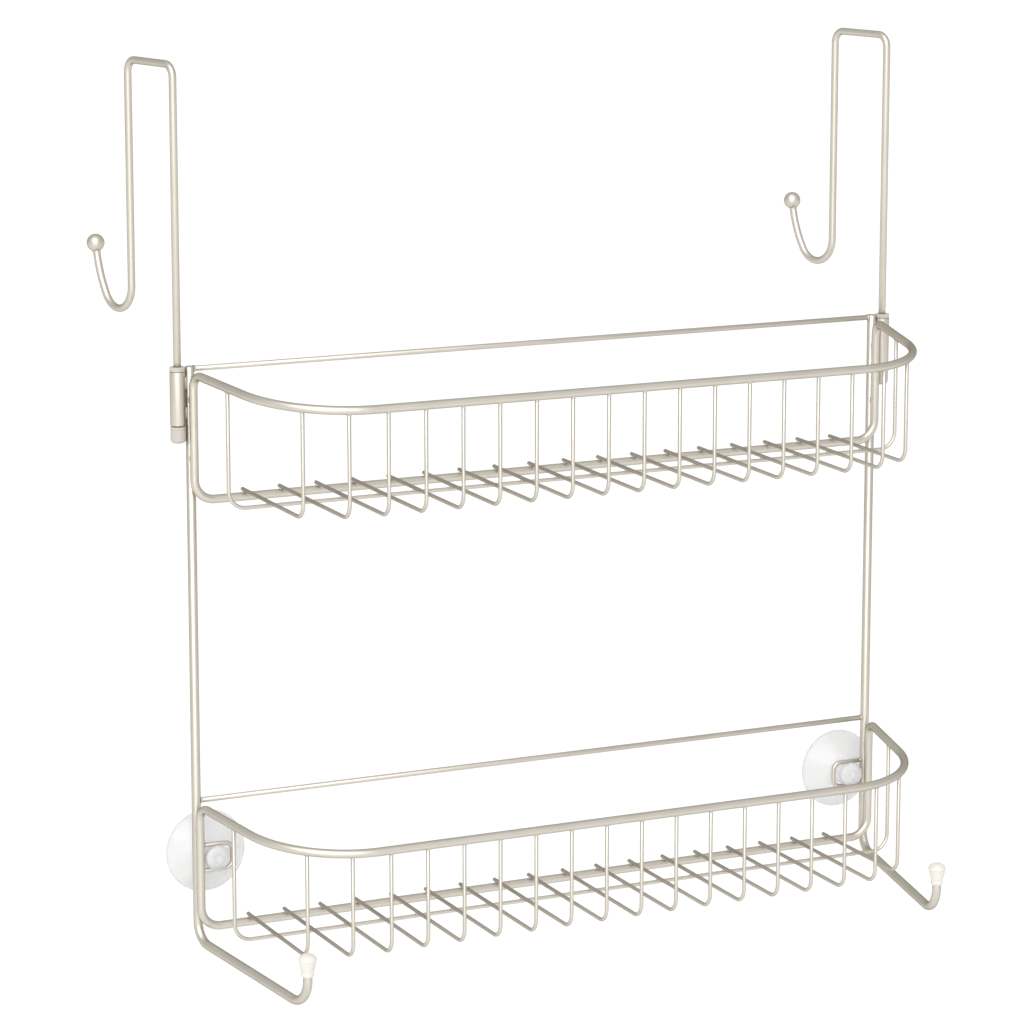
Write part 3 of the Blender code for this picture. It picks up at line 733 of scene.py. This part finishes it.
for k in range(1, CUP_STEPS):
    share = 1 - k / CUP_STEPS
    cup_outline.append((seal_r * share, crown_h + (face_h - crown_h) * share ** CUP_FLARE))
cup_outline.append((POLE_R, crown_h))
left_cup = turned("left_cup_moulding", cup_outline, CUP_SEGMENTS, cup_at, (0, 1, 0))
right_cup = copied(left_cup, "right_cup_moulding", mirror=True)
fit(left_cup, clear_pvc, "clear_pvc", "left_cup", "left_suction_cup")
fit(right_cup, clear_pvc, "clear_pvc", "right_cup", "right_suction_cup")

# ------------------------------------------------------------------ floor, light and camera
# A plain pale studio: a wide matt floor well below the hanging caddy, a wide soft sun from above, one
# soft box round the lens, and a long lens a little above the baskets, looking down at them from the left.
FLOOR = "#fafaf9"
FLOOR_DEEP = "#f7f7f6"
FLOOR_BELOW = 0.45         # below the caddy's lowest point
FLOOR_SIZE = 60
FLOOR_GRAIN = 0.02
SKY = "#ffffff"
SKY_STRENGTH = 0.72
SUN_AT = (0, 0, 3)
SUN_TOWARD = (0.62, 0.95, -1.0)
SUN_ANGLE = math.radians(60)
SUN_STRENGTH = 2.0
KEY_AT = (-1.05, -2.15, 0.10)  # a soft box round the lens, wider than it is high
KEY_SIZE = (2.6, 1.9)
KEY_POWER = 14
LENS = 142.2
SENSOR = 36
SIGHT_END = 200            # the floor is drawn to this distance
CAMERA_AT = (-1.228, -2.500, 0.235)
CAMERA_PITCH = math.radians(90 - 11.34)
CAMERA_YAW = math.radians(-25.94)

bpy.ops.object.select_all(action="DESELECT")
bpy.ops.mesh.primitive_plane_add(size=FLOOR_SIZE, location=(0, 0, cad_box[0].z - FLOOR_BELOW))
floor = bpy.context.object
floor.name = "floor"
floor_paint, floor_shader, floor_place = start_finish("matt_floor", Roughness=0.9)
floor_noise = add_node(floor_paint, "ShaderNodeTexNoise", {"Scale": 1 / FLOOR_GRAIN, "Detail": 2},
                       {"Vector": floor_place})
floor_tone = add_node(floor_paint, "ShaderNodeMix",
                      {"data_type": "RGBA", 6: colour(FLOOR_DEEP), 7: colour(FLOOR)},
                      {0: floor_noise.outputs["Fac"]})
floor_paint.node_tree.links.new(floor_tone.outputs[2], floor_shader.inputs["Base Color"])
floor.data.materials.append(floor_paint)


def hang_light(name, kind, at, toward):
    """A lamp at a place, shining along a direction and unseen by the camera itself."""
    light = bpy.data.lights.new(name, kind)
    lamp = bpy.data.objects.new(name, light)
    lamp.location = at
    lamp.rotation_euler = Vector(toward).to_track_quat("-Z", "Y").to_euler()
    lamp.visible_camera = False
    bpy.context.scene.collection.objects.link(lamp)
    return light


sun = hang_light("overhead_sun", "SUN", SUN_AT, SUN_TOWARD)
sun.energy = SUN_STRENGTH
sun.angle = SUN_ANGLE
caddy_middle = (cad_box[0] + cad_box[1]) / 2
key = hang_light("key_soft_box", "AREA", KEY_AT, caddy_middle - Vector(KEY_AT))
key.shape = "RECTANGLE"
key.size, key.size_y = KEY_SIZE
key.energy = KEY_POWER

world = bpy.data.worlds.new("studio")
world.use_nodes = True
world.node_tree.nodes["Background"].inputs["Color"].default_value = colour(SKY)
world.node_tree.nodes["Background"].inputs["Strength"].default_value = SKY_STRENGTH
bpy.context.scene.world = world
bpy.context.scene.view_settings.view_transform = "Standard"

lens = bpy.data.cameras.new("camera")
lens.lens = LENS
lens.sensor_width = SENSOR
lens.clip_end = SIGHT_END
camera = bpy.data.objects.new("camera", lens)
camera.location = CAMERA_AT
camera.rotation_euler = (CAMERA_PITCH, 0, CAMERA_YAW)
bpy.context.scene.collection.objects.link(camera)
bpy.context.scene.camera = camera
